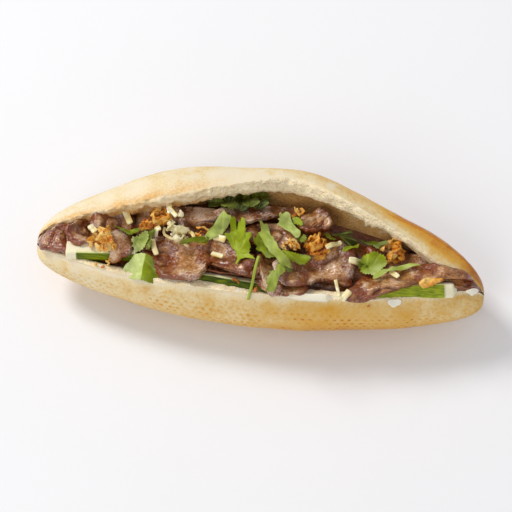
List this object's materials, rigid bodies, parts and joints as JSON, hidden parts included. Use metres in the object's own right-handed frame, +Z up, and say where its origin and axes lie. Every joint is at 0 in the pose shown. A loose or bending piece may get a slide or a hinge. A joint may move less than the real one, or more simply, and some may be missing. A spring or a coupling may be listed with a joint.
{
  "type": "banh mi sandwich",
  "caption": "Long crusty wheat roll slit along one side and filled with grilled beef slices, cucumber, pickled shreds, fried shallots and coriander.",
  "frame": {"origin": "under the middle of the whole, on the surface that the roll rests on", "axes": "+X along the roll, -Y towards the side that the mouth leans to, +Z up"},
  "size_m": [0.25, 0.089, 0.061],
  "materials": {
    "bread": "baked crust, golden, satin towards the right end, pale porous crumb at the cut",
    "beef": "grilled, moist, browned at the edges",
    "cucumber": "wet, green skin on pale flesh",
    "coriander": "fresh leaf, paler and duller underneath",
    "pickle": "translucent pale yellow-green, wet",
    "shallot": "fried crisp, golden brown",
    "mayonnaise": "glossy, off-white"
  },
  "bodies": {
    "root": {"beef_back_left": "beef", "beef_back_right": "beef", "beef_bed": "beef", "beef_behind_leaf": "beef", "beef_centre_low": "beef", "beef_centre_right": "beef", "beef_curl_left": "beef", "beef_fold_back_right": "beef", "beef_front_low": "beef", "beef_left_2": "beef", "beef_left_3": "beef", "beef_lobe_front": "beef", "beef_main": "beef", "beef_middle": "beef", "beef_right_long": "beef", "beef_strip_back": "beef", "beef_strip_back_left": "beef", "beef_tip_left": "beef", "beef_tip_right": "beef", "beef_tongue": "beef", "cucumber_left": "cucumber", "cucumber_middle": "cucumber", "cucumber_right": "cucumber", "leaf_back_right": "coriander", "leaf_big": "coriander", "leaf_blade": "coriander", "leaf_blade_right": "coriander", "leaf_bunch_back": "coriander", "leaf_dark_right": "coriander", "leaf_fan": "coriander", "leaf_folded": "coriander", "leaf_left": "coriander", "leaf_low": "coriander", "leaf_rolled": "coriander", "leaf_round_right": "coriander", "mayonnaise": "mayonnaise", "pickle_behind_fan": "pickle", "pickle_curls": "pickle", "pickle_fork_back": "pickle", "pickle_hang": "pickle", "pickle_left": "pickle", "pickle_left_back": "pickle", "pickle_lip": "pickle", "pickle_on_main": "pickle", "pickle_right": "pickle", "pickle_right_back": "pickle", "pickle_right_low": "pickle", "pickle_thread": "pickle", "roll": "bread", "shallot_back_left": "shallot", "shallot_behind_leaf": "shallot", "shallot_centre": "shallot", "shallot_left": "shallot", "shallot_middle": "shallot", "shallot_on_cucumber": "shallot", "shallot_right": "shallot", "shallot_shard_back": "shallot", "stem_front": "coriander"}
  },
  "joints": []
}
